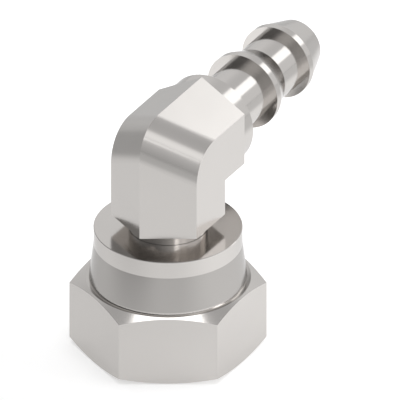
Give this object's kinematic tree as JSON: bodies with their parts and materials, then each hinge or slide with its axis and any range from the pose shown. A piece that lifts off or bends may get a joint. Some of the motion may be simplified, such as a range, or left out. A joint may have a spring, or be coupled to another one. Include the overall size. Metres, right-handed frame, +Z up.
{
  "type": "angled hose nipple",
  "caption": "Right-angled metal hose nipple: hexagonal elbow block with a barbed hose tail and a swivelling hexagonal union nut with a crimped collar.",
  "frame": {"origin": "centre of the union nut's open end face, on the nut's turning axis", "axes": "+Z up the nut's axis towards the elbow, +X out along the hose tail, +Y across the elbow's flats"},
  "size_m": [0.0399, 0.019, 0.0303],
  "materials": {
    "nipple_steel": "bright machined stainless steel",
    "nut_steel": "bright machined stainless steel"
  },
  "bodies": {
    "nipple": {"elbow_nipple": "nipple_steel"},
    "nut": {"swivel_nut": "nut_steel"}
  },
  "joints": [
    {"name": "nut_swivel", "type": "hinge", "parent": "nipple", "child": "nut", "pos_m": [0, 0, 0], "axis": [0, 0, 1], "continuous": true}
  ]
}
